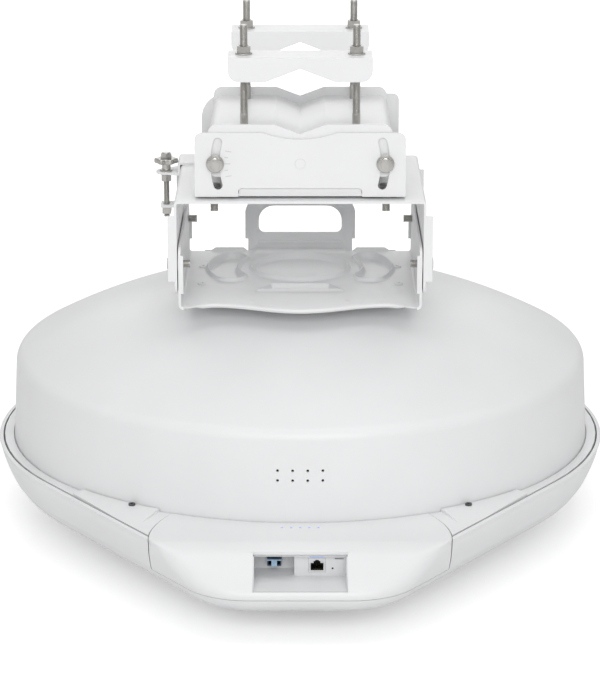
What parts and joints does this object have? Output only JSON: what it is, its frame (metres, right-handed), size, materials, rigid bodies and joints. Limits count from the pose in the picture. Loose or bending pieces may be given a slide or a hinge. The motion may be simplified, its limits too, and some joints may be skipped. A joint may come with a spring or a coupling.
{
  "type": "outdoor wireless bridge",
  "caption": "Round dish wireless bridge with rear ports on an adjustable pole mount with azimuth and elevation joints.",
  "frame": {"origin": "on the dish axis, in the plane of the rear rim of the housing", "axes": "+Z along the dish axis towards the pole mount, -Z the radiating face, -Y towards the port chin (down when installed), X across; the pole runs along Y"},
  "size_m": [0.63, 0.715, 0.5305],
  "materials": {
    "white_coat": "fine satin powder coat",
    "white_shell": "smooth matte outdoor plastic",
    "stainless": "bright stainless fasteners",
    "dark_screw": "darkened steel",
    "seal_rubber": "soft grey seal",
    "bay_plastic": "light grey plastic",
    "board_green": "lacquered circuit board",
    "jack_metal": "tinned shield",
    "gold": "gold plated",
    "light_guide": "clear light guide",
    "blue_plastic": "dark blue moulded plastic",
    "bail_blue": "light blue coat",
    "black_plastic": "dark plastic",
    "status_lens": "lit lens",
    "cable_jacket": "cable jacket",
    "dish_aluminium": "spun aluminium",
    "feed_plastic": "natural dielectric plastic",
    "cast_aluminium": "cast aluminium",
    "gap_pad": "soft thermal pad",
    "washer_nylon": "nylon"
  },
  "bodies": {
    "pole_mount": {"pole_bracket": "white_coat", "clamp_rods": "stainless", "azimuth_bolts": "stainless", "azimuth_nuts": "stainless", "azimuth_pivot_pins": "white_coat"},
    "front_clamp": {"front_clamp_bar": "white_coat", "front_clamp_nuts": "stainless", "front_clamp_washers": "stainless"},
    "rear_clamp": {"rear_clamp_bar": "white_coat", "rear_clamp_nuts": "stainless", "rear_clamp_washers": "stainless"},
    "azimuth_stage": {"azimuth_bracket": "white_coat", "elevation_bracket": "white_coat", "bracket_bolts": "stainless", "bracket_spacers": "stainless", "adjuster_strap": "white_coat"},
    "adjuster": {"adjuster_screw": "stainless", "adjuster_knob": "stainless", "adjuster_nut": "stainless"},
    "bail": {"sfp_bail": "bail_blue"},
    "button": {"reset_button": "black_plastic"},
    "antenna_head": {"base_bracket": "white_coat", "pivot_bolts": "stainless", "lock_bolts": "stainless", "arm_washers": "washer_nylon", "adjuster_block": "stainless", "base_screws": "white_coat", "rear_housing": "white_shell", "rear_frame": "white_shell", "frame_screws": "dark_screw", "rim_seal": "seal_rubber", "front_radome": "white_shell", "chin_cover": "white_shell", "port_bay": "bay_plastic", "port_board": "board_green", "rj45_jack": "jack_metal", "rj45_contacts": "gold", "rj45_light": "light_guide", "sfp_cage": "jack_metal", "sfp_module": "blue_plastic", "status_lights": "status_lens", "port_cable": "cable_jacket", "vent_membrane": "black_plastic", "main_reflector": "dish_aluminium", "reflector_screws": "stainless", "feed_tube": "stainless", "feed_cone": "feed_plastic", "subreflector": "dish_aluminium", "rf_module": "cast_aluminium", "main_board": "board_green", "board_screws": "stainless", "shield_cans": "jack_metal", "thermal_pad": "gap_pad", "heat_sink": "cast_aluminium"}
  },
  "joints": [
    {"name": "azimuth", "type": "hinge", "parent": "pole_mount", "child": "azimuth_stage", "pos_m": [0, 0, 0.3125], "axis": [0, 1, 0], "range_deg": [-10, 10]},
    {"name": "elevation", "type": "hinge", "parent": "azimuth_stage", "child": "antenna_head", "pos_m": [0, -0.137, 0.211], "axis": [1, 0, 0], "range_deg": [-2.5, 8]},
    {"name": "adjuster_turn", "type": "hinge", "parent": "azimuth_stage", "child": "adjuster", "pos_m": [-0.1389, 0.024, 0.25], "axis": [0, 0, 1], "continuous": true},
    {"name": "front_clamp_travel", "type": "slide", "parent": "pole_mount", "child": "front_clamp", "axis": [0, 0, 1], "range_m": [-0.036, 0.019], "stiffness_N_per_m": 1500},
    {"name": "rear_clamp_travel", "type": "slide", "parent": "pole_mount", "child": "rear_clamp", "axis": [0, 0, 1], "range_m": [-0.036, 0.019], "stiffness_N_per_m": 1500},
    {"name": "bail_swing", "type": "hinge", "parent": "antenna_head", "child": "bail", "pos_m": [-0.02435, -0.3397, -0.021], "axis": [1, 0, 0], "range_deg": [-50, 0]},
    {"name": "reset_press", "type": "slide", "parent": "antenna_head", "child": "button", "axis": [0, 1, 0], "range_m": [0, 0.0006]}
  ]
}
